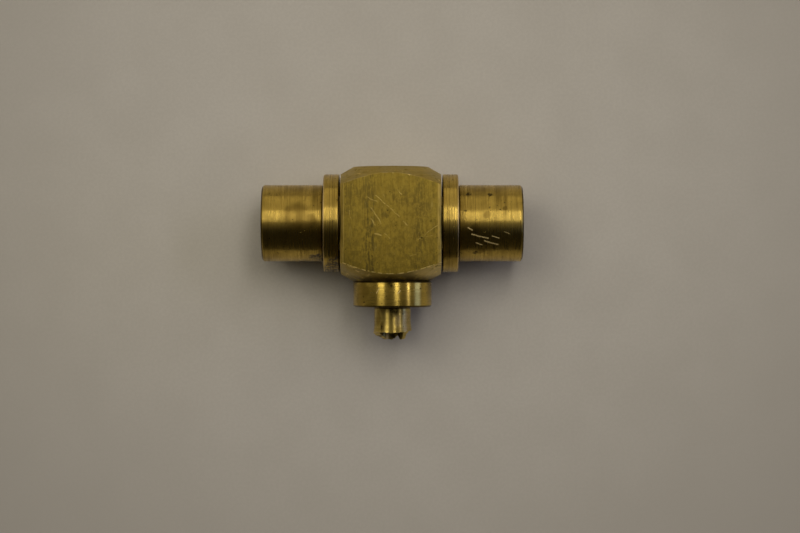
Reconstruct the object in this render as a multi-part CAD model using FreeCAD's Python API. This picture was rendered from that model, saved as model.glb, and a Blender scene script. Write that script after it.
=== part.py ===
import FreeCAD, Part

import math
import os

# A brass flare tee. The run lies along X, with a flare nut on each end. The branch points along -Y.
# The block rests on its back face, z = 0, and the origin is the point of that face under the run's middle.
# All sizes are in millimetres.

V = FreeCAD.Vector

# Block: a length of square bar, its axis along Y, turned to a cone at both ends
bar_size = 25.4
block_above_run = 14.3
block_below_run = 14.8
end_flat_radius = 9.6
end_cone_angle = 30.0
long_edge_bevel = 0.4
filed_edge_bevel = 0.8
waterway_radius = 3.2
centre_web = 4.9

# Nipples: shank in the block, flange let into its side, thread and flare nose outside it
shank_radius = 6.6
shank_edge = 0.5
thread_radius = 7.9
thread_depth = 0.9
thread_length = 7.8
flange_overhang = 1.1
flange_thickness = 1.2
relief_width = 1.5
relief_depth = 1.0
nose_tip_radius = 4.8
flare_angle = 37.0
hex_socket_flats = 7.0
hex_socket_depth = 4.0

# Flare sleeves: the loose rings that press the flared tube onto the nose
tube_bore_radius = 4.86
sleeve_head_length = 3.6
sleeve_head_play = 0.28
sleeve_skirt_radius = 6.0
sleeve_setback = 0.6
sleeve_edge = 0.25

# Flare nuts: a flange next to the block and a plain round body beyond it
nut_wall = 1.77
nut_flange_width = 2.75
nut_flange_thickness = 3.95
nut_body_length = {"left": 15.7, "right": 16.4}
nut_flange_edge = 0.3
nut_body_edge = 0.55
nut_hole_edge = 0.3
nut_mouth_edge = 0.6
nut_groove_width = 0.35
nut_groove_depth = 0.3

# Sealing washers
washer_thickness = 1.0
washer_hole_play = 0.25
branch_washer_radius = 8.2

# Branch: a collar with a threaded shank, and a tube stub in its socket
branch_offset = 0.4
branch_collar_radius = 10.0
branch_collar_height = 6.55
branch_collar_edge = 0.4
branch_shank_radius = 5.25
branch_web = 1.0
tube_radius = 4.65
tube_socket_depth = 4.8
tube_near_length = 6.3
tube_far_length = 8.5

# Clearances
nut_to_block_gap = 0.45
running_clearance = 0.08
screwed_clearance = 0.05
recess_clearance = 0.15
seat_gap = 0.12
shank_end_gap = 0.3
solder_gap = 0.03

# Places worked out from the sizes above. Along the run they are distances from the middle of the block.
axis_height = bar_size / 2
side_face = bar_size / 2
flange_radius = thread_radius + flange_overhang
nose_base_radius = thread_radius - thread_depth
recess_floor = side_face - flange_thickness - washer_thickness
flange_back = side_face - flange_thickness
relief_end = side_face + relief_width
thread_end = relief_end + thread_length
nose_start = thread_end + thread_depth
flare_slope = math.tan(math.radians(flare_angle))
nose_tip = nose_start + (nose_base_radius - nose_tip_radius) / flare_slope
nut_start = side_face + nut_to_block_gap
nut_flange_end = nut_start + nut_flange_thickness
nut_bore_radius = thread_radius + running_clearance
nut_body_radius = nut_bore_radius + nut_wall
nut_flange_radius = nut_body_radius + nut_flange_width
sleeve_head_radius = nut_bore_radius - sleeve_head_play
nut_hole_radius = sleeve_skirt_radius + running_clearance
sleeve_front = nose_start + seat_gap
sleeve_cone_end = sleeve_front + (nose_base_radius - tube_bore_radius) / flare_slope
sleeve_head_end = sleeve_front + sleeve_head_length
sleeve_shoulder_end = sleeve_head_end + sleeve_head_radius - sleeve_skirt_radius
nut_shoulder_end = sleeve_shoulder_end + seat_gap - running_clearance
nut_shoulder_start = nut_shoulder_end - (nut_bore_radius - nut_hole_radius)

# Along the branch they are distances below the run's axis.
port_radius = shank_radius + screwed_clearance
branch_port_end = port_radius + branch_web
collar_bottom = block_below_run + branch_collar_height
socket_floor = collar_bottom - tube_socket_depth


def turned(profile, start, direction):
    """Turn a closed outline of (distance, radius) points about the line from start along direction."""
    across = V(0, 0, 1)
    points = [start + direction * along + across * radius for along, radius in profile]
    outline = Part.makePolygon(points + points[:1])
    return Part.Face(outline).revolve(start, direction, 360)


def on_run(profile, side):
    """Turn an outline about the run, out to the left or to the right of the block's middle."""
    direction = V(1, 0, 0) if side == "right" else V(-1, 0, 0)
    return turned(profile, V(0, 0, axis_height), direction)


def on_branch(profile):
    """Turn an outline about the branch, downwards from the run's axis."""
    return turned(profile, V(branch_offset, 0, axis_height), V(0, -1, 0))


def ring(start, end, inner, outer):
    return [(start, inner), (end, inner), (end, outer), (start, outer)]


def plug(start, end, radius):
    return ring(start, end, 0, radius)


def block():
    half = bar_size / 2
    inset = half - long_edge_bevel
    filed = half - filed_edge_bevel
    corners = [(inset, half), (half, inset), (half, -inset), (inset, -half),
               (-inset, -half), (-half, -inset), (-half, filed), (-filed, half)]
    section = [V(x, -block_below_run, axis_height + z) for x, z in corners]
    bar = Part.Face(Part.makePolygon(section + section[:1]))
    bar = bar.extrude(V(0, block_above_run + block_below_run, 0))

    reach = bar_size
    fall = (reach - end_flat_radius) * math.tan(math.radians(end_cone_angle))
    cones = turned(
        [(-block_above_run, 0), (-block_above_run, end_flat_radius), (fall - block_above_run, reach),
         (block_below_run - fall, reach), (block_below_run, end_flat_radius), (block_below_run, 0)],
        V(0, 0, axis_height), V(0, -1, 0))
    body = bar.common(cones)

    recess_radius = flange_radius + recess_clearance
    beyond = side_face + 1
    for side in ("left", "right"):
        body = body.cut(on_run(plug(0, beyond, waterway_radius), side))
        body = body.cut(on_run(plug(centre_web, beyond, port_radius), side))
        body = body.cut(on_run(plug(recess_floor, beyond, recess_radius), side))
    below = block_below_run + 1
    body = body.cut(on_branch(plug(0, below, waterway_radius)))
    body = body.cut(on_branch(plug(branch_port_end, below, branch_shank_radius + screwed_clearance)))
    washer_floor = block_below_run - washer_thickness
    body = body.cut(on_branch(plug(washer_floor, below, branch_washer_radius + recess_clearance)))
    return body


def nipple(side):
    shank_end = centre_web + shank_end_gap
    relief_radius = thread_radius - relief_depth
    body = on_run([
        (shank_end, waterway_radius), (shank_end, shank_radius - shank_edge),
        (shank_end + shank_edge, shank_radius), (flange_back, shank_radius),
        (flange_back, flange_radius), (side_face, flange_radius), (side_face, relief_radius),
        (relief_end - relief_depth / 2, relief_radius), (relief_end, thread_radius),
        (thread_end, thread_radius), (nose_start, nose_base_radius),
        (nose_tip, nose_tip_radius), (nose_tip, waterway_radius)], side)
    sign = 1 if side == "right" else -1
    corner_radius = hex_socket_flats / math.sqrt(3)
    socket_floor_x = sign * (nose_tip - hex_socket_depth)
    hexagon = [V(socket_floor_x, corner_radius * math.cos(math.radians(60 * n)),
                 axis_height + corner_radius * math.sin(math.radians(60 * n))) for n in range(6)]
    socket = Part.Face(Part.makePolygon(hexagon + hexagon[:1]))
    return body.cut(socket.extrude(V(sign * (hex_socket_depth + 1), 0, 0)))


def washer(side):
    return on_run(ring(recess_floor, flange_back, shank_radius + washer_hole_play, flange_radius), side)


def flare_sleeve(side):
    skirt_end = nut_flange_end + nut_body_length[side] - sleeve_setback
    return on_run([
        (sleeve_front, nose_base_radius), (sleeve_cone_end, tube_bore_radius),
        (skirt_end - sleeve_edge, tube_bore_radius), (skirt_end, tube_bore_radius + sleeve_edge),
        (skirt_end, sleeve_skirt_radius - sleeve_edge), (skirt_end - sleeve_edge, sleeve_skirt_radius),
        (sleeve_shoulder_end, sleeve_skirt_radius), (sleeve_head_end, sleeve_head_radius),
        (sleeve_front + sleeve_edge, sleeve_head_radius), (sleeve_front, sleeve_head_radius - sleeve_edge)],
        side)


def flare_nut(side):
    nut_end = nut_flange_end + nut_body_length[side]
    groove_radius = nut_body_radius - nut_groove_depth
    return on_run([
        (nut_start, nut_bore_radius + nut_mouth_edge),
        (nut_start, nut_flange_radius - nut_flange_edge),
        (nut_start + nut_flange_edge, nut_flange_radius),
        (nut_flange_end - nut_flange_edge, nut_flange_radius),
        (nut_flange_end, nut_flange_radius - nut_flange_edge),
        (nut_flange_end, groove_radius), (nut_flange_end + nut_groove_width, groove_radius),
        (nut_flange_end + nut_groove_width, nut_body_radius),
        (nut_end - nut_body_edge, nut_body_radius), (nut_end, nut_body_radius - nut_body_edge),
        (nut_end, nut_hole_radius + nut_hole_edge), (nut_end - nut_hole_edge, nut_hole_radius),
        (nut_shoulder_end, nut_hole_radius), (nut_shoulder_start, nut_bore_radius),
        (nut_start + nut_mouth_edge, nut_bore_radius)], side)


def branch_collar():
    shank_end = branch_port_end + shank_end_gap
    socket_radius = tube_radius + solder_gap
    return on_branch([
        (shank_end, waterway_radius), (shank_end, branch_shank_radius - shank_edge),
        (shank_end + shank_edge, branch_shank_radius), (block_below_run, branch_shank_radius),
        (block_below_run, branch_collar_radius - branch_collar_edge / 2),
        (block_below_run + branch_collar_edge / 2, branch_collar_radius),
        (collar_bottom - branch_collar_edge, branch_collar_radius),
        (collar_bottom, branch_collar_radius - branch_collar_edge),
        (collar_bottom, socket_radius), (socket_floor, socket_radius), (socket_floor, waterway_radius)])


def branch_washer():
    top = block_below_run - washer_thickness
    hole = branch_shank_radius + washer_hole_play
    return on_branch(ring(top, block_below_run, hole, branch_washer_radius))


def branch_tube():
    """The stub, cut off on a slope: its back wall reaches further than its front wall."""
    tube = on_branch(ring(socket_floor, collar_bottom + tube_far_length, waterway_radius, tube_radius))
    slope = math.degrees(math.atan2(tube_far_length - tube_near_length, 2 * tube_radius))
    size = 4 * tube_far_length
    cutter = Part.makeBox(size, size, size, V(-size / 2, -size, 0))
    cutter.rotate(V(0, 0, 0), V(1, 0, 0), -slope)
    middle = collar_bottom + (tube_near_length + tube_far_length) / 2
    drop = size / 2 * V(0, math.sin(math.radians(slope)), math.cos(math.radians(slope)))
    cutter.translate(V(branch_offset, -middle, axis_height) - drop)
    return tube.cut(cutter)


pieces = {
    "tee_block": block(),
    "branch_collar": branch_collar(),
    "branch_washer": branch_washer(),
    "branch_tube": branch_tube(),
}
for side in ("left", "right"):
    pieces[side + "_nipple"] = nipple(side)
    pieces[side + "_washer"] = washer(side)
    pieces[side + "_flare_sleeve"] = flare_sleeve(side)
    pieces[side + "_flare_nut"] = flare_nut(side)

os.makedirs("parts", exist_ok=True)
for name, shape in pieces.items():
    if not shape.isValid() or len(shape.Solids) != 1:
        raise SystemExit(name + " is not one valid solid")
    shape.exportStep("parts/" + name + ".step")
    box = shape.BoundBox
    print(f"{name:20s} {shape.Volume:9.1f} mm3  x {box.XMin:.2f} to {box.XMax:.2f}  "
          f"y {box.YMin:.2f} to {box.YMax:.2f}  z {box.ZMin:.2f} to {box.ZMax:.2f}")
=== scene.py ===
# %% [markdown]
# # A brass flare tee
# A tee joins three pipes. This one is a block of square bar with a round flare nut on each end of its run
# and a collar with a torn-off tube on its branch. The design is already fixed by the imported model, so the
# script starts by loading it. Every size below is in metres, in the same frame: X along the run, -Y along
# the branch, Z up.

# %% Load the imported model
import bmesh
import bpy
import math
import random
from mathutils import Matrix, Vector


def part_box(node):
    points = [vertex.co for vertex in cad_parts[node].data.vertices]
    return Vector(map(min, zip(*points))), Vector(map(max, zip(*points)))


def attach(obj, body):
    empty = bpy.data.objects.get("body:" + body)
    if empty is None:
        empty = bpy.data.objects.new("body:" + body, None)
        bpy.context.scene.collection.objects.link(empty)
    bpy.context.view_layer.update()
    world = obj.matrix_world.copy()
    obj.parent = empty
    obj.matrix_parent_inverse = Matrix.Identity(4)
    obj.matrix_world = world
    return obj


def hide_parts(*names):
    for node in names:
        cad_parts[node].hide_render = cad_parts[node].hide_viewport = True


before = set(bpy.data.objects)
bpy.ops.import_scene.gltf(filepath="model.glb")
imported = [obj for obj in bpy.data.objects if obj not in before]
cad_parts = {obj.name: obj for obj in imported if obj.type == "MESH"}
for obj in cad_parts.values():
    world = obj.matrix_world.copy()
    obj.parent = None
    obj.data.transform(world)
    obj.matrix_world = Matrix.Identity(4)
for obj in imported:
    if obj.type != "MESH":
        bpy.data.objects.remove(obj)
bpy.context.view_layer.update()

print("nodes:", sorted(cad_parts))

# %% [markdown]
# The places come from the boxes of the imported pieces. The sizes that a box can't give, such as a bore
# inside a nut, are named here once, as a machinist would write them on the drawing.

# %% Sizes and places
MM = 0.001
block_low, block_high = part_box("tee_block")
axis_height = (block_low.z + block_high.z) / 2
half_bar = block_high.x
branch_low, branch_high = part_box("branch_collar")
branch_x = (branch_low.x + branch_high.x) / 2
collar_bottom = -branch_low.y
collar_radius = (branch_high.x - branch_low.x) / 2
tube_low, tube_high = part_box("branch_tube")
tube_radius = (tube_high.x - tube_low.x) / 2

waterway_radius = 3.2 * MM
thread_pitch = 25.4 * MM / 18
nut_flange_thickness = 3.95 * MM
nut_body_radius = 9.75 * MM
thread_bore_radius = 7.98 * MM
sleeve_hole_radius = 6.08 * MM
RING_STEPS = 192
print(f"block {2 * half_bar / MM:.1f} mm wide, branch at x = {branch_x / MM:.2f} mm")

# %% [markdown]
# Round pieces are made as on a lathe: an outline is drawn on one side of the axis and spun round it.
# `bmesh.ops.spin` does that in one call. A real edge is never perfectly sharp, so the sharp rings get a
# tiny bevel, which is what catches the light. A modifier could do it too, but a finished mesh exports
# without surprises.

# %% Helpers that spin, ease and finish a piece
RUN = Vector((0, 0, axis_height))
BRANCH = Vector((branch_x, 0, axis_height))
OUT_LEFT, OUT_RIGHT, DOWN_BRANCH = Vector((-1, 0, 0)), Vector((1, 0, 0)), Vector((0, -1, 0))


def spun(outline, start, direction, steps=RING_STEPS):
    """Spin a closed outline of (distance, radius) points about the line from start along direction."""
    bm = bmesh.new()
    up = Vector((0, 0, 1))
    points = [bm.verts.new(start + direction * along + up * radius) for along, radius in outline]
    edges = [bm.edges.new((a, b)) for a, b in zip(points, points[1:] + points[:1])]
    bmesh.ops.spin(bm, geom=points + edges, cent=start, axis=direction, angle=math.tau, steps=steps,
                   use_merge=True)
    bmesh.ops.remove_doubles(bm, verts=bm.verts, dist=1e-7)
    bmesh.ops.dissolve_degenerate(bm, edges=bm.edges, dist=1e-8)
    bmesh.ops.recalc_face_normals(bm, faces=bm.faces)
    return bm


def sharp_edges(bm, degrees):
    return [e for e in bm.edges if e.is_manifold and e.calc_face_angle(0) > math.radians(degrees)]


def ease(bm, width, degrees=25, segments=2):
    """Round every edge that is sharper than the given angle."""
    bmesh.ops.bevel(bm, geom=sharp_edges(bm, degrees), offset=width, affect="EDGES", segments=segments,
                    profile=0.5, material=-1, clamp_overlap=True)


def finish(name, bm, material, body, stands_for=None, smooth_degrees=35):
    """Turn a bmesh into a finished piece that rides on its body."""
    mesh = bpy.data.meshes.new(name)
    bm.to_mesh(mesh)
    bm.free()
    mesh.materials.append(material)
    mesh.shade_smooth()
    mesh.set_sharp_from_angle(angle=math.radians(smooth_degrees))
    piece = bpy.data.objects.new(name, mesh)
    bpy.context.scene.collection.objects.link(piece)
    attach(piece, body)
    if stands_for:
        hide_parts(stands_for)
    print(f"{name}: {len(mesh.vertices)} vertices, {len(mesh.polygons)} faces")
    return piece


# %% [markdown]
# ## Finishes
# Brass is a metal, so its look is mostly what it mirrors, and the finish decides how sharply. Turning
# leaves fine rings round the piece. They blur a reflection along the axis and keep it crisp across, which
# the shader calls anisotropy. The helper below builds the nodes that all the brass here shares: rings,
# cloudy tarnish, and pits.

# %% A small helper for shader nodes
def add(tree, kind, settings=None, **inputs):
    """Add a node. Inputs are sockets or plain values, named as in the editor with underscores for spaces."""
    made = tree.nodes.new(kind)
    for key, value in (settings or {}).items():
        setattr(made, key, value)
    for key, value in inputs.items():
        numbered = key[0] == "i" and key[1:].isdigit()
        socket = made.inputs[int(key[1:]) if numbered else key.replace("_", " ")]
        if isinstance(value, bpy.types.NodeSocket):
            tree.links.new(value, socket)
        else:
            socket.default_value = value
    return made


def new_material(name):
    material = bpy.data.materials.new(name)
    material.use_nodes = True
    tree = material.node_tree
    return material, tree, tree.nodes["Principled BSDF"]


def maths(tree, operation, a, b=0.0, c=0.0):
    return add(tree, "ShaderNodeMath", {"operation": operation}, i0=a, i1=b, i2=c).outputs[0]


def noise(tree, vector, scale, detail=2.0, roughness=0.5):
    return add(tree, "ShaderNodeTexNoise", Vector=vector, Scale=scale, Detail=detail,
               Roughness=roughness).outputs["Fac"]


def ramp(tree, value, low, high, start=0.0, end=1.0):
    """Map value from low..high to start..end, clamped, with soft ends."""
    return add(tree, "ShaderNodeMapRange", {"interpolation_type": "SMOOTHSTEP"}, Value=value, From_Min=low,
               From_Max=high, To_Min=start, To_Max=end).outputs[0]


def blend_colour(tree, share, first, second):
    made = tree.nodes.new("ShaderNodeMix")
    made.data_type = "RGBA"
    for socket, value in ((made.inputs["Factor"], share), (made.inputs[6], first), (made.inputs[7], second)):
        if isinstance(value, bpy.types.NodeSocket):
            tree.links.new(value, socket)
        else:
            socket.default_value = value
    return made.outputs[2]


# %% [markdown]
# A turned surface needs two coordinates: how far along the axis a point is, and how far from it. Their sum
# changes along a cylinder and across an end face alike, so rings drawn on it lie the way a lathe tool cuts
# them everywhere. Single marks are easier to place on the surface laid out flat, with the distance along
# the axis as X and the way round from the top as Y.

# %% Coordinates for turned surfaces
RING_STRETCH = 40.0
LAID_OUT_RADIUS = 10 * MM


def vector_maths(tree, operation, a, b, result=0):
    return add(tree, "ShaderNodeVectorMath", {"operation": operation}, i0=a, i1=b).outputs[result]


def turned_coordinates(tree, axis, centre):
    """Return the point, its distances along and from the axis, its ring vector and its laid-out place."""
    place = add(tree, "ShaderNodeTexCoord").outputs["Object"]
    place = vector_maths(tree, "SUBTRACT", place, tuple(centre))
    parts = add(tree, "ShaderNodeSeparateXYZ", Vector=place).outputs
    along, across = (parts[0], parts[1]) if axis == "X" else (parts[1], parts[0])
    spoke = add(tree, "ShaderNodeCombineXYZ", X=across, Y=parts[2]).outputs[0]
    radius = vector_maths(tree, "LENGTH", spoke, (0, 0, 0), "Value")
    rings = maths(tree, "MULTIPLY", maths(tree, "ADD", along, radius), RING_STRETCH)
    turned = add(tree, "ShaderNodeCombineXYZ", X=rings, Y=across, Z=parts[2]).outputs[0]
    turn = maths(tree, "MULTIPLY", maths(tree, "ARCTAN2", across, parts[2]), LAID_OUT_RADIUS)
    laid_out = add(tree, "ShaderNodeCombineXYZ", X=along, Y=turn).outputs[0]
    return place, along, radius, turned, laid_out


# %% Marks: each returns 1 on the mark and 0 off it
def stroke(tree, laid_out, start, end, width):
    """A thin line between two points given in millimetres."""
    start, end = (Vector((x * MM, y * MM, 0)) for x, y in (start, end))
    run = end - start
    offset = vector_maths(tree, "SUBTRACT", laid_out, tuple(start))
    share = vector_maths(tree, "DOT_PRODUCT", offset, tuple(run / run.length_squared), "Value")
    share = add(tree, "ShaderNodeClamp", Value=share).outputs[0]
    nearest = add(tree, "ShaderNodeVectorMath", {"operation": "SCALE"}, i0=tuple(run), Scale=share).outputs[0]
    gap = vector_maths(tree, "DISTANCE", offset, nearest, "Value")
    return ramp(tree, gap, 0.3 * width * MM, width * MM, 1.0, 0.0)


def spot(tree, laid_out, x, y, radius):
    """A soft round patch, placed in millimetres."""
    gap = vector_maths(tree, "DISTANCE", laid_out, (x * MM, y * MM, 0), "Value")
    return ramp(tree, gap, 0.55 * radius * MM, radius * MM, 1.0, 0.0)


def ring(tree, along, position, half_width):
    gap = maths(tree, "ABSOLUTE", maths(tree, "SUBTRACT", along, position))
    return ramp(tree, gap, 0.6 * half_width, 1.2 * half_width, 1.0, 0.0)


def any_of(tree, marks):
    total = marks[0]
    for mark in marks[1:]:
        total = maths(tree, "MAXIMUM", total, mark)
    return total


def spots(tree, laid_out, patches):
    return any_of(tree, [spot(tree, laid_out, *patch) for patch in patches])


def strokes(tree, laid_out, lines):
    return any_of(tree, [stroke(tree, laid_out, *line) for line in lines])


def rings_at(tree, along, places):
    return any_of(tree, [ring(tree, along, *place) for place in places])


def wavering(tree, laid_out, place, amount):
    """Shift the laid-out place a little, so that no mark has a ruled edge."""
    wander = add(tree, "ShaderNodeTexNoise", Vector=place, Scale=600.0, Detail=2.0).outputs["Color"]
    wander = vector_maths(tree, "SUBTRACT", wander, (0.5, 0.5, 0.5))
    wander = vector_maths(tree, "MULTIPLY", wander, (amount, amount, 0))
    return vector_maths(tree, "ADD", laid_out, wander)


# %% [markdown]
# Marks have their own colours. Dirt, pits and painted shade are nearly black, a fresh scratch is pale bare
# brass, and a rim that rubs on other things stays bright.

# %% Turned brass
PIT, GRIME_AND_SHADE, BORE_SHADE = (0.04, 0.025, 0.008, 1), (0.05, 0.035, 0.012, 1), (0.06, 0.042, 0.015, 1)
SCRIBED_LINE, GREY_SMEAR = (0.12, 0.08, 0.02, 1), (0.13, 0.112, 0.082, 1)
FRESH_SCRATCH, RUBBED_BRASS, BRIGHT_RIM = (0.95, 0.76, 0.36, 1), (0.85, 0.68, 0.32, 1), (0.85, 0.66, 0.30, 1)


def brass(name, axis, centre, light, dark, roughness, anisotropy, tarnish, ring_bump, pits=0.5, swing=0.08,
          painted_shade_rings=(), scribed_rings=(), worn_rings=(), scuffs=(), stains=(), smears=(), grime=(),
          worn=(), dark_bore=0.0):
    """Turned brass. light and dark are its clean and tarnished colours, and the rest are lists of marks.

    Rings are placed in metres along the axis, and all other marks in millimetres on the laid-out surface.
    """
    material, tree, shader = new_material(name)
    place, along, radius, turned, laid_out = turned_coordinates(tree, axis, centre)
    loose = wavering(tree, laid_out, place, 1.2 * MM)
    fine = noise(tree, turned, 90.0, 4.0, 0.65)
    broad = noise(tree, turned, 22.0, 2.0)
    cloud = noise(tree, place, 190.0, 4.0, 0.6)
    grain = noise(tree, place, 1400.0, 2.0)
    stain = maths(tree, "MULTIPLY", ramp(tree, cloud, 0.42, 0.72), tarnish)
    stain = maths(tree, "ADD", stain, ramp(tree, broad, 0.48, 0.72, 0.0, 0.5 * tarnish))
    stain = maths(tree, "ADD", stain, ramp(tree, fine, 0.52, 0.70, 0.0, 0.5 * tarnish))
    if stains:
        stain = maths(tree, "ADD", stain, maths(tree, "MULTIPLY", spots(tree, loose, stains), 0.75))
    stain = maths(tree, "MINIMUM", stain, 1.0)
    speck = noise(tree, place, 1500.0, 1.0)
    pit = ramp(tree, speck, 0.74 - 0.02 * pits, 0.79 - 0.02 * pits)
    colour = blend_colour(tree, stain, light, dark)
    colour = blend_colour(tree, ramp(tree, grain, 0.3, 0.7, 0.0, 0.18), colour, dark)
    rough = ramp(tree, fine, 0.32, 0.68, roughness - swing, roughness + swing)
    rough = maths(tree, "MULTIPLY_ADD", stain, 0.10, rough)
    rough = maths(tree, "ADD", rough, ramp(tree, radius, 11.0 * MM, 12.0 * MM, 0.0, -0.05))
    height = maths(tree, "MULTIPLY_ADD", fine, 0.6, broad)
    height = maths(tree, "MULTIPLY_ADD", pit, -3.0, height)
    if dark_bore:
        shade = ramp(tree, radius, dark_bore, dark_bore + 0.3 * MM, 0.85, 0.0)
        colour = blend_colour(tree, shade, colour, BORE_SHADE)
    if scuffs:
        wobbly = wavering(tree, laid_out, place, 0.35 * MM)
        scratched = strokes(tree, wobbly, scuffs)
        colour = blend_colour(tree, maths(tree, "MULTIPLY", scratched, 0.9), colour, FRESH_SCRATCH)
        rough = maths(tree, "MULTIPLY_ADD", scratched, 0.5, rough)
        tree.links.new(maths(tree, "MULTIPLY_ADD", scratched, -0.35, 1.0), shader.inputs["Metallic"])
        height = maths(tree, "MULTIPLY_ADD", scratched, -2.0, height)
    if worn:
        rubbed = maths(tree, "MULTIPLY", spots(tree, loose, worn), ramp(tree, grain, 0.36, 0.62, 0.3, 1.0))
        colour = blend_colour(tree, maths(tree, "MULTIPLY", rubbed, 0.7), colour, RUBBED_BRASS)
        rough = maths(tree, "MULTIPLY_ADD", rubbed, 0.25, rough)
    if smears:
        smeared = maths(tree, "MULTIPLY", spots(tree, loose, smears), ramp(tree, grain, 0.36, 0.60, 0.3, 1.0))
        colour = blend_colour(tree, maths(tree, "MULTIPLY", smeared, 0.95), colour, GREY_SMEAR)
        rough = maths(tree, "MULTIPLY_ADD", smeared, 0.22, rough)
    if worn_rings:
        rims = rings_at(tree, along, worn_rings)
        rims = maths(tree, "MULTIPLY", rims, ramp(tree, radius, 11.6 * MM, 12.1 * MM))
        colour = blend_colour(tree, rims, colour, BRIGHT_RIM)
        rough = maths(tree, "MULTIPLY_ADD", rims, 0.35, rough)
    if scribed_rings:
        scribed = maths(tree, "MULTIPLY", rings_at(tree, along, scribed_rings), 0.55)
        colour = blend_colour(tree, scribed, colour, SCRIBED_LINE)
    # Dark spots, of grime and of painted shade.
    if grime:
        grime_and_shade_mask = maths(tree, "MULTIPLY", spots(tree, loose, grime), ramp(tree, grain, 0.38, 0.58, 0.35, 0.9))
        colour = blend_colour(tree, grime_and_shade_mask, colour, GRIME_AND_SHADE)
    # Rings of painted shade, in recesses and where parts meet.
    if painted_shade_rings:
        painted_shade = maths(tree, "MULTIPLY", rings_at(tree, along, painted_shade_rings), 0.85)
        colour = blend_colour(tree, painted_shade, colour, GRIME_AND_SHADE)
    colour = blend_colour(tree, pit, colour, PIT)
    tree.links.new(colour, shader.inputs["Base Color"])
    tree.links.new(rough, shader.inputs["Roughness"])
    shader.inputs["Metallic"].default_value = 1.0
    shader.inputs["Anisotropic"].default_value = anisotropy
    shader.inputs["Anisotropic Rotation"].default_value = 0.25
    tangent = tree.nodes.new("ShaderNodeTangent")
    tangent.direction_type = "RADIAL"
    tangent.axis = axis
    tree.links.new(tangent.outputs[0], shader.inputs["Tangent"])
    bump = add(tree, "ShaderNodeBump", Height=height, Strength=ring_bump, Distance=0.02 * MM)
    tree.links.new(bump.outputs[0], shader.inputs["Normal"])
    print(f"{name}: {len(tree.nodes)} nodes")
    return material


# %% [markdown]
# ## Flare nuts
# Each nut is a round body with a flange at the block's end, bored to run on the nipple's thread, and with a
# smaller hole at its outer end for the flare sleeve. They differ only in the body's length and in their
# marks, so one function makes both. Painted shade darkens the relief beside the flange, the flange's face
# against the block and the outer end, and the flange's rim is worn bright.

# %% Flare nuts
CLEAN_BRASS, DULL_BRASS = (0.62, 0.435, 0.092, 1), (0.32, 0.215, 0.042, 1)
nut_shoulder = 28.36 * MM
relief_width = 0.35 * MM


def nut_finish(side, direction, **marks):
    """Marks are in millimetres from the nut's middle, going right, and round it from the top, going back."""
    low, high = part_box(side + "_flare_nut")
    centre = (low + high) / 2
    start, end = sorted((abs(low.x), abs(high.x)))
    flange_end = start + nut_flange_thickness
    # Painted shade in rings: in the relief, at the outer end, and on the flange's face against the block.
    painted_shade = [(direction.x * (flange_end + relief_width / 2) - centre.x, 0.22 * MM)]
    painted_shade += [(direction.x * (end - 0.1 * MM) - centre.x, 0.28 * MM)]
    painted_shade += [(direction.x * start - centre.x, 0.1 * MM)]
    worn = [(direction.x * (flange_end - 0.16 * MM) - centre.x, 0.14 * MM)]
    scribed = [(position * MM, 0.07 * MM) for position in marks.pop("scribed", ())]
    return brass("turned_brass_" + side, "X", centre, CLEAN_BRASS, DULL_BRASS, roughness=0.35,
                 anisotropy=0.96, tarnish=0.55, ring_bump=0.5, pits=0.6, swing=0.15, painted_shade_rings=painted_shade,
                 scribed_rings=scribed, worn_rings=worn, **marks)


nut_brass = {
    "left": nut_finish("left", OUT_LEFT, scribed=(8.3, 7.6),
                       stains=[(-0.8, 1.8, 4.4), (2.6, 0.6, 2.4)],
                       smears=[(4.8, -11.0, 2.2), (3.2, -10.6, 1.4), (7.4, -12.4, 3.6), (9.0, -9.4, 2.4)]),
    "right": nut_finish("right", OUT_RIGHT, scribed=(-2.0, -8.6),
                        scuffs=[((-3.9, -1.2), (-2.8, -1.9), 0.2), ((-2.9, -3.0), (1.2, -4.2), 0.24),
                                ((0.2, -4.9), (3.6, -6.0), 0.28), ((-1.8, -5.5), (-0.3, -6.1), 0.24),
                                ((2.2, -3.5), (3.9, -4.1), 0.2), ((5.2, -2.4), (6.6, -2.9), 0.08)],
                        stains=[(-0.8, -8.2, 1.4), (5.4, 3.8, 0.8), (-2.0, -1.6, 1.6), (1.0, 2.2, 1.2)],
                        grime=[(-3.7, 8.4, 1.0), (1.7, 8.2, 0.8), (-1.9, -8.8, 0.9), (4.2, 3.4, 0.35),
                               (1.4, 3.9, 0.3), (-4.6, 3.0, 0.4)]),
}


def flare_nut(side, direction):
    low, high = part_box(side + "_flare_nut")
    start, end = sorted((abs(low.x), abs(high.x)))
    flange_radius = (high.z - low.z) / 2
    flange_end = start + nut_flange_thickness
    edge, inner_edge, mouth, outer_chamfer = 0.3 * MM, 0.14 * MM, 0.6 * MM, 0.55 * MM
    outline = [
        (start, thread_bore_radius + mouth),
        (start, flange_radius - inner_edge), (start + inner_edge, flange_radius),
        (flange_end - edge, flange_radius), (flange_end, flange_radius - edge),
        (flange_end, nut_body_radius - edge), (flange_end + relief_width, nut_body_radius - edge),
        (flange_end + relief_width, nut_body_radius), (end - outer_chamfer, nut_body_radius),
        (end, nut_body_radius - outer_chamfer),
        (end, sleeve_hole_radius + edge), (end - edge, sleeve_hole_radius),
        (nut_shoulder, sleeve_hole_radius),
        (nut_shoulder - (thread_bore_radius - sleeve_hole_radius), thread_bore_radius),
        (start + mouth, thread_bore_radius)]
    bm = spun(outline, RUN, direction)
    ease(bm, 0.08 * MM)
    return finish(side + "_nut", bm, nut_brass[side], side + "_nut", side + "_flare_nut")


for side, direction in (("left", OUT_LEFT), ("right", OUT_RIGHT)):
    flare_nut(side, direction)

# %% [markdown]
# ## Block
# The block is sawn from square bar and turned to a cone at both ends, which leaves an arc across each flat
# face. Spinning the two cones and slicing the flats off that shape gives the arcs for nothing, exactly
# where the lathe would leave them. The bores are cut last.

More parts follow.
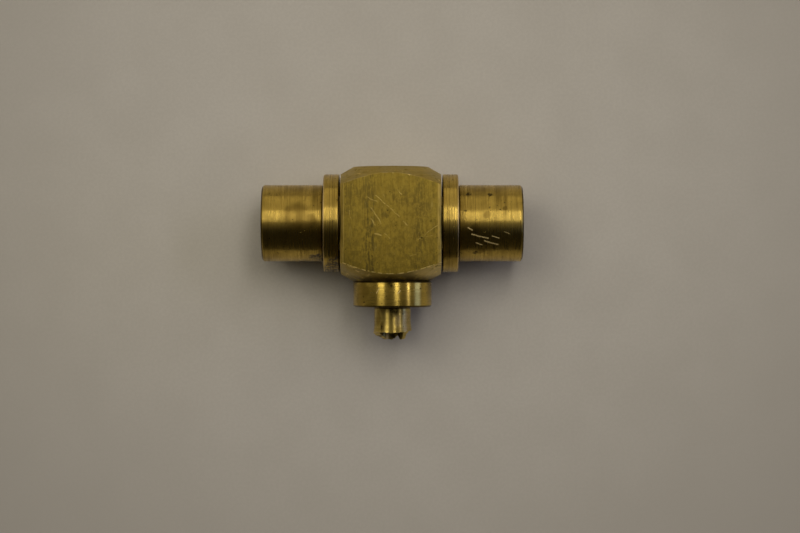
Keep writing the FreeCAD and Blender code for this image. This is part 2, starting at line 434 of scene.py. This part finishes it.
# %% The bar's finish
END_FLAT, END_SLOPE = 9.6 * MM, math.tan(math.radians(30))
BAR_LIGHT, BAR_OLIVE, BAR_DARK = (0.54, 0.39, 0.057, 1), (0.46, 0.33, 0.05, 1), (0.31, 0.225, 0.038, 1)
BAR_BROWN, BAR_BAND, BAR_DENT = (0.23, 0.165, 0.035, 1), (0.185, 0.14, 0.034, 1), (0.03, 0.025, 0.01, 1)
BAR_SCRATCH, BAR_BURR, FILED_EDGE = (0.90, 0.70, 0.20, 1), (0.98, 0.78, 0.26, 1), (0.80, 0.60, 0.17, 1)
END_LIGHT, END_DULL, FLUX_STAIN = (0.52, 0.38, 0.085, 1), (0.42, 0.31, 0.075, 1), (0.45, 0.35, 0.14, 1)
PAINTED_LIGHT_SPOT, FOOT_SHADE = (0.72, 0.56, 0.20, 1), (0.10, 0.07, 0.022, 1)
GAP_SHADE = (0.04, 0.028, 0.010, 1)
# Where the marks lie on the bar's top face, in millimetres from its middle.
BANDS = [(-5.3, 1.9, 0.95), (7.1, 1.8, 0.55), (-6.9, 0.5, 0.5), (10.6, 0.6, 0.3), (-10.5, 3.5, 0.25)]
SCRATCHES = [
    ((-5.9, 6.4), (-3.2, 5.1), 0.16), ((-3.8, 6.8), (-0.9, 4.3), 0.15), ((-0.9, 4.3), (2.2, 1.5), 0.18),
    ((-4.9, 3.8), (-2.4, -0.3), 0.2), ((-4.9, 0.9), (-3.9, -0.6), 0.2), ((-4.0, -2.8), (-2.4, -3.2), 0.25),
    ((3.2, 0.2), (4.1, -0.7), 0.22), ((6.4, -4.5), (8.5, -3.2), 0.16), ((8.5, -3.2), (9.5, -2.2), 0.14),
    ((8.9, -3.6), (10.4, -3.2), 0.14), ((9.8, -2.0), (11.8, -0.7), 0.14), ((-1.5, -2.6), (-0.1, -4.1), 0.16),
    ((1.8, 8.2), (2.7, 7.0), 0.16), ((-10.4, 2.9), (-10.1, 1.2), 0.2), ((4.9, -8.4), (6.3, -7.9), 0.13)]
# The last two patches also darken the face's top left as painted shade.
BROWN_PATCHES = [(-6.0, 7.4, 2.6), (2.2, 6.6, 2.8), (5.0, 5.4, 2.0), (8.2, 3.4, 2.4), (8.0, -3.6, 1.6),
                 (-1.5, 2.2, 1.6), (-10.2, 8.4, 3.4), (-11.0, 3.6, 2.6)]


def drawn_brass(name):
    """Drawn bar: streaks along Y on the flats, rings on the turned ends, scratches and tarnish."""
    material, tree, shader = new_material(name)
    place, _, radius, turned, _ = turned_coordinates(tree, "Y", RUN)
    x, y, z = add(tree, "ShaderNodeSeparateXYZ", Vector=place).outputs
    face = add(tree, "ShaderNodeCombineXYZ", X=x, Y=y).outputs[0]
    face = wavering(tree, face, place, 0.6 * MM)
    front = ramp(tree, z, 0.9 * half_bar, 0.98 * half_bar)
    # How far a point is inside the turned cones and the end faces: nothing on them, more on the flats.
    to_top = maths(tree, "SUBTRACT", block_high.y, y)
    to_bottom = maths(tree, "SUBTRACT", y, block_low.y)
    to_end = maths(tree, "MINIMUM", to_top, to_bottom)
    reach = maths(tree, "MULTIPLY_ADD", to_end, 1 / END_SLOPE, END_FLAT)
    inside = maths(tree, "MINIMUM", maths(tree, "SUBTRACT", reach, radius), to_end)
    ragged = noise(tree, place, 500.0, 3.0, 0.6)
    border = maths(tree, "MULTIPLY_ADD", ragged, -0.9 * MM, 0.55 * MM)
    on_turned = ramp(tree, maths(tree, "ADD", inside, border), 0.10 * MM, 0.30 * MM, 1.0, 0.0)

    streaks = add(tree, "ShaderNodeMapping", Vector=place, Scale=(1.0, 0.09, 1.0)).outputs[0]
    fine = noise(tree, streaks, 2300.0, 4.0, 0.65)
    broad = noise(tree, streaks, 380.0, 2.0)
    cloud = noise(tree, place, 170.0, 4.0, 0.6)
    drawn = add(tree, "ShaderNodeMapping", Vector=place, Scale=(1.0, 0.7, 1.0)).outputs[0]
    grain = noise(tree, drawn, 1300.0, 4.0, 0.65)
    cut = add(tree, "ShaderNodeMapping", Vector=turned, Scale=(1.0, 0.15, 0.15)).outputs[0]
    rings = noise(tree, cut, 120.0, 3.0, 0.6)
    flat_colour = blend_colour(tree, ramp(tree, cloud, 0.30, 0.72), BAR_LIGHT, BAR_OLIVE)
    flat_colour = blend_colour(tree, ramp(tree, grain, 0.36, 0.64, 0.0, 0.9), flat_colour, BAR_DARK)
    flat_colour = blend_colour(tree, ramp(tree, fine, 0.52, 0.68, 0.0, 0.32), flat_colour, BAR_DARK)
    # Painted shade: the flat grows darker towards the back (+Y) and towards the left end.
    flat_colour = blend_colour(tree, ramp(tree, y, -9 * MM, 11 * MM, 0.0, 0.55), flat_colour, BAR_DARK)
    flat_colour = blend_colour(tree, ramp(tree, x, -6 * MM, -13 * MM, 0.0, 0.4), flat_colour, BAR_DARK)
    bands = []
    for at, width, share in BANDS:
        off_band = maths(tree, "ABSOLUTE", maths(tree, "SUBTRACT", x, at * MM))
        on_band = ramp(tree, off_band, 0.3 * width * MM, width * MM, 1.0, 0.0)
        bands.append(maths(tree, "MULTIPLY", on_band, share))
    band = maths(tree, "MULTIPLY", any_of(tree, bands), front)
    band = maths(tree, "MULTIPLY", band, ramp(tree, noise(tree, streaks, 3400.0, 2.0), 0.44, 0.56, 0.05, 1.0))
    band = maths(tree, "MULTIPLY", band, ramp(tree, grain, 0.34, 0.56, 0.3, 1.0))
    flat_colour = blend_colour(tree, band, flat_colour, BAR_BAND)
    browned = spots(tree, face, BROWN_PATCHES)
    browned = maths(tree, "MULTIPLY", browned, ramp(tree, grain, 0.36, 0.58, 0.1, 0.8))
    browned = maths(tree, "MULTIPLY", browned, ramp(tree, fine, 0.38, 0.60, 0.25, 1.0))
    browned = maths(tree, "MULTIPLY", browned, front)
    flat_colour = blend_colour(tree, browned, flat_colour, BAR_BROWN)
    scratched = maths(tree, "MULTIPLY", strokes(tree, face, SCRATCHES), front)
    hair = add(tree, "ShaderNodeMapping", Vector=place, Rotation=(0, 0, 0.7), Scale=(1.0, 0.16, 1.0))
    hair = hair.outputs[0]
    hair = noise(tree, hair, 700.0, 1.0)
    hair = ramp(tree, maths(tree, "ABSOLUTE", maths(tree, "SUBTRACT", hair, 0.5)), 0.004, 0.014, 0.5, 0.0)
    hair = maths(tree, "MULTIPLY", hair, ramp(tree, cloud, 0.5, 0.62))
    scratched = maths(tree, "MAXIMUM", scratched, hair)
    broken = ramp(tree, grain, 0.36, 0.60, 0.06, 0.52)
    flat_colour = blend_colour(tree, maths(tree, "MULTIPLY", scratched, broken), flat_colour, BAR_SCRATCH)
    dent = maths(tree, "MULTIPLY", spot(tree, face, 7.65, -3.85, 0.36), maths(tree, "MULTIPLY", front, 0.75))
    pit = maths(tree, "MAXIMUM", dent, ramp(tree, noise(tree, place, 1700.0, 1.0), 0.73, 0.80, 0.0, 0.7))
    flat_colour = blend_colour(tree, pit, flat_colour, BAR_DENT)
    # The burr that the lathe left along the arcs, bright and broken.
    burr = ramp(tree, inside, 0.30 * MM, 0.55 * MM, 1.0, 0.0)
    patchy = noise(tree, place, 950.0, 3.0, 0.6)
    patchy = maths(tree, "ADD", patchy, ramp(tree, y, -10 * MM, 10 * MM, 0.10, -0.05))
    burr = maths(tree, "MULTIPLY", burr, ramp(tree, patchy, 0.54, 0.64, 0.0, 1.0))
    burr = maths(tree, "MULTIPLY", burr, ramp(tree, to_end, 0.5 * MM, 1.2 * MM))
    flat_colour = blend_colour(tree, burr, flat_colour, BAR_BURR)

    # The long edges are filed and rubbed bright.
    corner = maths(tree, "ADD", maths(tree, "ABSOLUTE", x), maths(tree, "ABSOLUTE", z))
    rubbed = ramp(tree, corner, 2 * half_bar - 1.05 * MM, 2 * half_bar - 0.85 * MM, 0.0, 1.0)
    rubbed = maths(tree, "MULTIPLY", rubbed, ramp(tree, fine, 0.35, 0.65, 0.15, 0.6))
    flat_colour = blend_colour(tree, rubbed, flat_colour, FILED_EDGE)
    # Painted shade on the side faces, in the gaps under the nuts' flanges.
    spoke = add(tree, "ShaderNodeCombineXYZ", X=y, Y=z).outputs[0]
    off_run = vector_maths(tree, "LENGTH", spoke, (0, 0, 0), "Value")
    gap_shade = ramp(tree, maths(tree, "ABSOLUTE", x), half_bar - 0.10 * MM, half_bar - 0.04 * MM)
    gap_shade = maths(tree, "MULTIPLY", gap_shade, ramp(tree, off_run, 12.2 * MM, 13.4 * MM, 0.92, 0.0))

    turned_colour = blend_colour(tree, ramp(tree, rings, 0.36, 0.64), END_LIGHT, END_DULL)
    turned_colour = blend_colour(tree, ramp(tree, cloud, 0.45, 0.65, 0.0, 0.6), turned_colour, FLUX_STAIN)
    # Painted light on the right of the lower cone, and painted shade round the foot of the collar.
    painted_light = maths(tree, "MULTIPLY", spot(tree, face, 9.5, -11.5, 5.0), 0.95)
    turned_colour = blend_colour(tree, painted_light, turned_colour, PAINTED_LIGHT_SPOT)
    foot_shade = ramp(tree, radius, 10.3 * MM, 12.9 * MM, 0.85, 0.0)
    foot_shade = maths(tree, "MULTIPLY", foot_shade, ramp(tree, y, -11 * MM, -12 * MM))
    turned_colour = blend_colour(tree, foot_shade, turned_colour, FOOT_SHADE)
    colour = blend_colour(tree, on_turned, flat_colour, turned_colour)
    colour = blend_colour(tree, gap_shade, colour, GAP_SHADE)
    tree.links.new(colour, shader.inputs["Base Color"])
    rough = ramp(tree, fine, 0.3, 0.7, 0.52, 0.68)
    rough = maths(tree, "MULTIPLY_ADD", on_turned, -0.08, rough)
    tree.links.new(rough, shader.inputs["Roughness"])
    shader.inputs["Metallic"].default_value = 1.0
    flat_height = maths(tree, "MULTIPLY_ADD", fine, 0.7, broad)
    flat_height = maths(tree, "MULTIPLY_ADD", scratched, -1.2, flat_height)
    flat_height = maths(tree, "MULTIPLY_ADD", pit, -3.0, flat_height)
    height = add(tree, "ShaderNodeMix", i0=on_turned, i2=flat_height, i3=rings).outputs[0]
    bump = add(tree, "ShaderNodeBump", Height=height, Strength=0.45, Distance=0.03 * MM)
    tree.links.new(bump.outputs[0], shader.inputs["Normal"])
    print(f"{name}: {len(tree.nodes)} nodes")
    return material


bar_brass = drawn_brass("drawn_bar_brass")


# %% Block: cones sliced to a square
def block():
    above, below = block_high.y, -block_low.y
    reach = 2 * half_bar
    fall = (reach - END_FLAT) * END_SLOPE
    outline = [(-above, 0), (-above, END_FLAT), (fall - above, reach),
               (below - fall, reach), (below, END_FLAT), (below, 0)]
    bm = spun(outline, RUN, DOWN_BRANCH, 360)
    edge, filed = 0.4 * MM, 0.8 * MM
    flats = [(Vector((x, 0, z)), half_bar) for x, z in ((1, 0), (-1, 0), (0, 1), (0, -1))]
    corner = math.sqrt(2)
    for x, z in ((1, 1), (1, -1), (-1, 1), (-1, -1)):
        bevel = filed if (x, z) == (-1, 1) else edge
        flats.append((Vector((x, 0, z)) / corner, (2 * half_bar - bevel) / corner))
    for normal, distance in flats:
        cut = bmesh.ops.bisect_plane(bm, geom=bm.verts[:] + bm.edges[:] + bm.faces[:], dist=1e-8,
                                     plane_co=RUN + normal * distance, plane_no=normal, clear_outer=True)
        rim = [g for g in cut["geom_cut"] if isinstance(g, bmesh.types.BMEdge)]
        bmesh.ops.edgeloop_fill(bm, edges=rim)
    bmesh.ops.recalc_face_normals(bm, faces=bm.faces)
    return bm


def drilled(piece, cutters):
    """Cut the bores with a Boolean modifier and keep the result as the piece's own mesh."""
    for tool in cutters:
        cut = piece.modifiers.new("bore", "BOOLEAN")
        cut.object = tool
        cut.operation = "DIFFERENCE"
        cut.solver = "EXACT"
    result = bpy.data.meshes.new_from_object(piece.evaluated_get(bpy.context.evaluated_depsgraph_get()))
    piece.modifiers.clear()
    piece.data = result
    for tool in cutters:
        bpy.data.objects.remove(tool)


def cutter(name, outline, start, direction, steps=96):
    """A spun tool that cuts a bore. drilled() removes it after the cut."""
    bm = spun(outline, start, direction, steps)
    mesh = bpy.data.meshes.new(name)
    bm.to_mesh(mesh)
    bm.free()
    tool = bpy.data.objects.new(name, mesh)
    bpy.context.scene.collection.objects.link(tool)
    return tool


bm = block()
ease(bm, 0.03 * MM, 20)
tee = finish("block", bm, bar_brass, "tee", "tee_block", 30)
port, recess, web = 6.65 * MM, 9.15 * MM, 4.9 * MM
past, floor_of_recess = half_bar + MM, half_bar - 2.2 * MM
run_tool = cutter("run_tool", [
    (-past, 0), (-past, recess), (-floor_of_recess, recess), (-floor_of_recess, port), (-web, port),
    (-web, waterway_radius), (web, waterway_radius), (web, port), (floor_of_recess, port),
    (floor_of_recess, recess), (past, recess), (past, 0)], RUN, OUT_RIGHT)
below = -block_low.y
branch_port, branch_recess, branch_port_floor = 5.3 * MM, 8.35 * MM, 7.65 * MM
branch_tool = cutter("branch_tool", [
    (0, 0), (0, waterway_radius), (branch_port_floor, waterway_radius), (branch_port_floor, branch_port),
    (below - MM, branch_port), (below - MM, branch_recess), (below + MM, branch_recess), (below + MM, 0)],
    BRANCH, DOWN_BRANCH)
drilled(tee, [run_tool, branch_tool])
tee.data.set_sharp_from_angle(angle=math.radians(30))

# %% [markdown]
# ## Branch collar and its torn tube
# The collar is a plain turned ring, smoother than the nuts. The tube in it was torn off, so its end is
# ragged: the wall is spun like the rest, and then the rows near the end are pushed out to a ragged line and
# spread a little.

# %% Branch collar
collar_middle = BRANCH - Vector((0, (collar_bottom - block_low.y) / 2, 0))
collar_brass = brass(
    "collar_brass", "Y", collar_middle, (0.62, 0.445, 0.09, 1), (0.36, 0.25, 0.045, 1), roughness=0.29,
    anisotropy=0.94, tarnish=0.45, ring_bump=0.15, pits=1.0, swing=0.05,
    # Both rings are painted shade, where the collar meets the block and the tube.
    painted_shade_rings=[(-3.1 * MM, 0.3 * MM), (3.1 * MM, 0.2 * MM)],
    scuffs=[((1.6, -3.2), (0.3, -4.1), 0.12), ((0.2, 1.3), (1.0, 2.1), 0.12)],
    stains=[(1.0, -8.5, 3.0), (-1.2, -9.6, 2.4), (2.2, -0.6, 1.0), (-2.2, 3.2, 1.0)],
    grime=[(1.5, -3.6, 0.3), (-0.4, -8.2, 0.35), (-1.9, -8.0, 0.3), (2.4, -0.4, 0.6)])
socket_radius = tube_radius + 0.03 * MM
socket_floor = collar_bottom - 4.8 * MM
shank_end, shank_radius, shank_lead = 7.95 * MM, 5.25 * MM, 0.5 * MM
foot_edge, rim_edge = 0.2 * MM, 0.4 * MM
bm = spun([(shank_end, waterway_radius), (shank_end, shank_radius - shank_lead),
           (shank_end + shank_lead, shank_radius), (below, shank_radius),
           (below, collar_radius - foot_edge), (below + foot_edge, collar_radius),
           (collar_bottom - rim_edge, collar_radius), (collar_bottom, collar_radius - rim_edge),
           (collar_bottom, socket_radius), (socket_floor, socket_radius), (socket_floor, waterway_radius)],
          BRANCH, DOWN_BRANCH)
ease(bm, 0.06 * MM)
finish("collar", bm, collar_brass, "tee", "branch_collar")

# %% Torn tube
# Pairs of an angle in degrees and how far the wall reaches beyond the collar there, in millimetres.
TEAR = [(0, 6.5), (30, 6.4), (60, 6.1), (90, 5.9), (120, 6.2), (131, 6.7), (140, 8.2), (150, 8.4), (163, 7.4),
        (178, 8.1), (190, 8.45), (205, 8.3), (232, 7.5), (252, 7.0), (270, 6.5), (300, 6.3), (330, 6.4),
        (360, 6.5)]
WALL_REACH = 5.0 * MM
LIP_EDGE = 0.5 * MM


def tear_length(degrees):
    """How far the wall reaches beyond the collar at an angle from the top, going to the right."""
    degrees %= 360
    for (a, first), (b, second) in zip(TEAR, TEAR[1:]):
        if a <= degrees <= b:
            share = (degrees - a) / (b - a)
            return (first + (second - first) * share * share * (3 - 2 * share)) * MM
    return TEAR[0][1] * MM


def tube_wall(rows=14):
    short = collar_bottom + WALL_REACH
    outer = [(socket_floor + (short - socket_floor) * n / rows, tube_radius) for n in range(rows + 1)]
    lip = [(short, tube_radius - LIP_EDGE), (short, tube_radius - 2 * LIP_EDGE)]
    inner = [(along, waterway_radius) for along, _ in reversed(outer)]
    return spun(outer + lip + inner, BRANCH, DOWN_BRANCH, 160)


tube_middle = BRANCH - Vector((0, collar_bottom, 0))
tube_brass = brass(
    "tube_brass", "Y", tube_middle, (0.68, 0.52, 0.14, 1), (0.36, 0.255, 0.055, 1), roughness=0.38,
    anisotropy=0.88, tarnish=0.6, ring_bump=0.15, pits=1.2, swing=0.06, dark_bore=waterway_radius,
    stains=[(-5.0, -6.0, 1.5), (-2.5, -9.0, 2.5)],
    # The ring and the first dark spot are painted shade where the tube leaves the collar.
    painted_shade_rings=[(-0.1 * MM, 0.35 * MM)],
    grime=[(-0.3, 0.6, 3.0), (-5.2, -6.2, 0.7), (-7.4, -23.0, 2.0), (-8.1, -30.6, 1.6), (-8.0, 26.4, 1.8),
           (-8.0, 30.6, 1.4)],
    scuffs=[((-6.8, -27.4), (-8.0, -27.2), 1.7)],
    worn=[(-3.6, 8.6, 3.6), (-3.4, 3.0, 1.8)])
bm = tube_wall()
rng = random.Random(7)
JAGS, JAG_HEIGHT = 48, 0.12 * MM
ragged = [rng.uniform(-1, 1) for n in range(JAGS)]
for vertex in bm.verts:
    offset = vertex.co - BRANCH
    along = -offset.y
    spread = (along - collar_bottom) / WALL_REACH
    if spread <= 0:
        continue
    angle = math.degrees(math.atan2(offset.x, offset.z)) % 360
    radius = math.hypot(offset.x, offset.z)
    depth = (tube_radius - radius) / (tube_radius - waterway_radius)
    jag = ragged[int(angle / (360 / JAGS)) % JAGS] * JAG_HEIGHT
    target = tear_length(angle + 6 * depth) + jag * (1 - depth)
    along = collar_bottom + spread * target
    flare = 1 + 0.05 * max(0.0, spread - 0.7) / 0.3
    vertex.co = Vector((branch_x + offset.x * flare, -along, axis_height + offset.z * flare))
finish("torn_tube", bm, tube_brass, "tee", "branch_tube")

# %% [markdown]
# ## Nipples
# A nipple is hidden until its nut is backed off, and then its thread shows. A screw thread is a helix, so
# its groove can't be spun. The wall is spun plain instead, in many rows, and each of its points is then
# pushed in by a depth that depends on how far along and how far round it is. The hexagonal hole that a key
# drives is cut last, by a spun cutter with only six sides.

# %% Nipples with a real thread
thread_brass = brass("thread_brass", "X", RUN, (0.60, 0.44, 0.13, 1), (0.32, 0.22, 0.06, 1), roughness=0.3,
                     anisotropy=0.3, tarnish=0.4, ring_bump=0.1, pits=0.2)
thread_radius, thread_depth, thread_length = 7.9 * MM, 0.8 * MM, 7.8 * MM
relief_radius, relief_length = 6.9 * MM, 1.5 * MM
nipple_shank_radius, nipple_shank_lead, nipple_flange_thickness = 6.6 * MM, 0.5 * MM, 1.2 * MM
nose_root_radius, nose_tip_radius, nose_lead = 7.0 * MM, 4.8 * MM, 0.9 * MM
hex_flats, hex_depth = 7.0 * MM, 4.0 * MM
run_out = 0.4 * thread_pitch


def nipple(side, direction):
    low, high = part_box(side + "_nipple")
    inner, tip = sorted((abs(low.x), abs(high.x)))
    flange_radius = (high.z - low.z) / 2
    relief_end = half_bar + relief_length
    thread_end = relief_end + thread_length
    under_flange = half_bar - nipple_flange_thickness
    rows = 90
    thread = [(relief_end + (thread_end - relief_end) * n / rows, thread_radius) for n in range(rows + 1)]
    shank = [(inner, waterway_radius), (inner, nipple_shank_radius - nipple_shank_lead),
             (inner + nipple_shank_lead, nipple_shank_radius), (under_flange, nipple_shank_radius)]
    flange = [(under_flange, flange_radius), (half_bar, flange_radius), (half_bar, relief_radius),
              (relief_end - 0.5 * MM, relief_radius)]
    nose = [(thread_end + nose_lead, nose_root_radius), (tip, nose_tip_radius), (tip, waterway_radius)]
    bm = spun(shank + flange + thread + nose, RUN, direction, 96)
    for vertex in bm.verts:
        offset = vertex.co - RUN
        along = offset.dot(direction)
        radius = math.hypot(offset.y, offset.z)
        if relief_end - 1e-6 <= along <= thread_end + 1e-6 and radius > thread_radius - 0.4 * MM:
            turn = math.atan2(offset.z, offset.y) / math.tau * direction.x
            phase = (along / thread_pitch - turn) % 1
            groove = 1 - abs(2 * phase - 1)
            fade = min(1, (along - relief_end) / run_out, (thread_end - along) / run_out)
            depth = thread_depth * min(1, 1.25 * groove) * max(0, fade)
            scale = (radius - depth) / radius
            vertex.co = Vector((vertex.co.x, offset.y * scale, axis_height + offset.z * scale))
    piece = finish(side + "_nipple_threaded", bm, thread_brass, "tee", side + "_nipple", 40)
    hex_floor, hex_corner = tip - hex_depth, hex_flats / math.sqrt(3)
    socket = [(hex_floor, 0), (hex_floor, hex_corner), (tip + MM, hex_corner), (tip + MM, 0)]
    drilled(piece, [cutter(side + "_socket_tool", socket, RUN, direction, 6)])
    piece.data.set_sharp_from_angle(angle=math.radians(40))
    return piece


for side, direction in (("left", OUT_LEFT), ("right", OUT_RIGHT)):
    nipple(side, direction)

# %% [markdown]
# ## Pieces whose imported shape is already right
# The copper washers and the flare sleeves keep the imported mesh, and only get their finish.

# %% Washers and sleeves
sleeve_brass = brass("sleeve_brass", "X", RUN, (0.60, 0.45, 0.15, 1), (0.34, 0.24, 0.07, 1), roughness=0.35,
                     anisotropy=0.5, tarnish=0.4, ring_bump=0.2, pits=0.2)
copper = brass("washer_copper", "X", RUN, (0.58, 0.28, 0.17, 1), (0.32, 0.14, 0.08, 1), roughness=0.42,
               anisotropy=0.2, tarnish=0.5, ring_bump=0.2, pits=0.2)
for node, material in (("left_flare_sleeve", sleeve_brass), ("right_flare_sleeve", sleeve_brass),
                       ("left_washer", copper), ("right_washer", copper), ("branch_washer", copper)):
    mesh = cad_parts[node].data
    mesh.materials.clear()
    mesh.materials.append(material)
    print(f"{node}: {len(mesh.polygons)} faces in {material.name}")

# %% [markdown]
# ## Floor, light and camera
# The tee lies on a sheet of pale board. A studio for metal is built from what the metal mirrors: tall soft
# strips on one side of the vertical, and nothing on the other, so that a round bar shows one bright band
# and one dark one.

# %% Floor
BOARD, PALER_BOARD, FIBRE = (0.495, 0.473, 0.419, 1), (0.52, 0.498, 0.443, 1), (0.38, 0.362, 0.318, 1)
BOARD_FALLOFF_SHADE = (0.40, 0.38, 0.335, 1)
bpy.ops.mesh.primitive_plane_add(size=3.0, location=(0, 0, 0))
board = bpy.context.object
board.name = "board"
material, tree, shader = new_material("pale_board")
place = add(tree, "ShaderNodeTexCoord").outputs["Object"]
mottle = noise(tree, place, 60.0, 3.0)
colour = blend_colour(tree, ramp(tree, mottle, 0.3, 0.7), BOARD, PALER_BOARD)
fibres = noise(tree, place, 1300.0, 3.0, 0.6)
colour = blend_colour(tree, ramp(tree, fibres, 0.36, 0.62, 0.0, 0.16), colour, FIBRE)
# Painted shade: the board grows darker away from its middle, where the light falls off.
outwards = vector_maths(tree, "DISTANCE", place, (0, 20 * MM, 0), "Value")
colour = blend_colour(tree, ramp(tree, outwards, 50 * MM, 160 * MM), colour, BOARD_FALLOFF_SHADE)
tree.links.new(colour, shader.inputs["Base Color"])
shader.inputs["Roughness"].default_value = 0.85
shader.inputs["Specular IOR Level"].default_value = 0.2
board.data.materials.append(material)

# %% [markdown]
# Each strip is an area light, placed by its direction from the tee and sized by the angle that it fills. It
# is 3 m off, so it looks nearly the same from every piece. The window is low on the right, and its
# reflections are blue. The fill is close, and hidden from reflections: it only brightens dull surfaces.

# %% Lights
def strip(name, across, tilt, width, height, radiance, colour, distance=3.0):
    """A rectangle of light, placed and sized by angles in degrees.

    across and tilt turn it from the vertical towards +X and +Y, and it fills width by height.
    """
    towards = Vector((math.tan(math.radians(across)), math.tan(math.radians(tilt)), 1)).normalized()
    data = bpy.data.lights.new(name, "AREA")
    data.shape = "RECTANGLE"
    data.size = 2 * distance * math.tan(math.radians(width / 2))
    data.size_y = 2 * distance * math.tan(math.radians(height / 2))
    data.energy = radiance * math.pi * data.size * data.size_y
    data.color = colour
    light = bpy.data.objects.new(name, data)
    side = Vector((0, 1, 0)).cross(towards).normalized()
    up = towards.cross(side)
    turn = Matrix((side, up, towards)).transposed().to_4x4()
    light.matrix_world = Matrix.Translation(RUN + towards * distance) @ turn
    bpy.context.scene.collection.objects.link(light)
    print(f"{name}: {data.size:.2f} x {data.size_y:.2f} m")
    return light


warm = (1.0, 0.93, 0.80)
strip_tilt, strip_height = 22.5, 29
strip("left_strip", -34, strip_tilt, 18, strip_height, 2.7, warm)
strip("middle_strip", 13.2, strip_tilt, 10, strip_height, 4.5, (1.0, 0.94, 0.91))
strip("right_strip", 48.5, strip_tilt, 4, strip_height, 5.9, (1.0, 0.95, 1.15))
strip("window", 80, 20, 19, 40, 0.78, (0.56, 0.79, 2.1))
fill = strip("fill", 0, 18, 40, 40, 1.6, warm, 0.3)
fill.visible_glossy = False
fill.visible_camera = False

# %% [markdown]
# The room is painted by angle too. `lean` is how far a direction leans back from the vertical. The ceiling
# is nearly black at the front and brightens until just behind the vertical. The wall starts about 35
# degrees back and is brightest at the horizon. The camera itself sees one plain colour instead.

# %% Room
FRONT_LEVEL, CEILING_LEVEL, WALL_RISE, HORIZON_RISE = 0.018, 0.16, 0.31, 0.10
ROOM_TINT, BACKDROP = (1.0, 0.90, 0.72), (0.20, 0.182, 0.15, 1)
world = bpy.data.worlds.new("room")
world.use_nodes = True
bpy.context.scene.world = world
tree = world.node_tree
background = tree.nodes["Background"]
direction = add(tree, "ShaderNodeTexCoord").outputs["Generated"]
parts = add(tree, "ShaderNodeSeparateXYZ", Vector=direction).outputs
lean = maths(tree, "ARCTAN2", parts[1], parts[2])
wall = ramp(tree, lean, math.radians(32), math.radians(38), 0.0, WALL_RISE)
ceiling = ramp(tree, lean, math.radians(-26), math.radians(8), FRONT_LEVEL, CEILING_LEVEL)
horizon = ramp(tree, lean, math.radians(60), math.radians(88), 0.0, HORIZON_RISE)
level = maths(tree, "ADD", maths(tree, "ADD", wall, horizon), ceiling)
tint = add(tree, "ShaderNodeVectorMath", {"operation": "SCALE"}, i0=ROOM_TINT, Scale=level).outputs[0]
seen = add(tree, "ShaderNodeLightPath").outputs["Is Camera Ray"]
colour = blend_colour(tree, seen, tint, BACKDROP)
tree.links.new(colour, background.inputs["Color"])

# %% Camera, looking straight down
CAMERA_HEIGHT = 0.65
camera_data = bpy.data.cameras.new("camera")
camera_data.sensor_width = 36.0
camera_data.lens = 114.6
camera_data.clip_start = 0.01
camera = bpy.data.objects.new("camera", camera_data)
camera.location = (2.315 * MM, -11.04 * MM, axis_height + CAMERA_HEIGHT)
bpy.context.scene.collection.objects.link(camera)
bpy.context.scene.camera = camera
bpy.context.scene.view_settings.view_transform = "Standard"
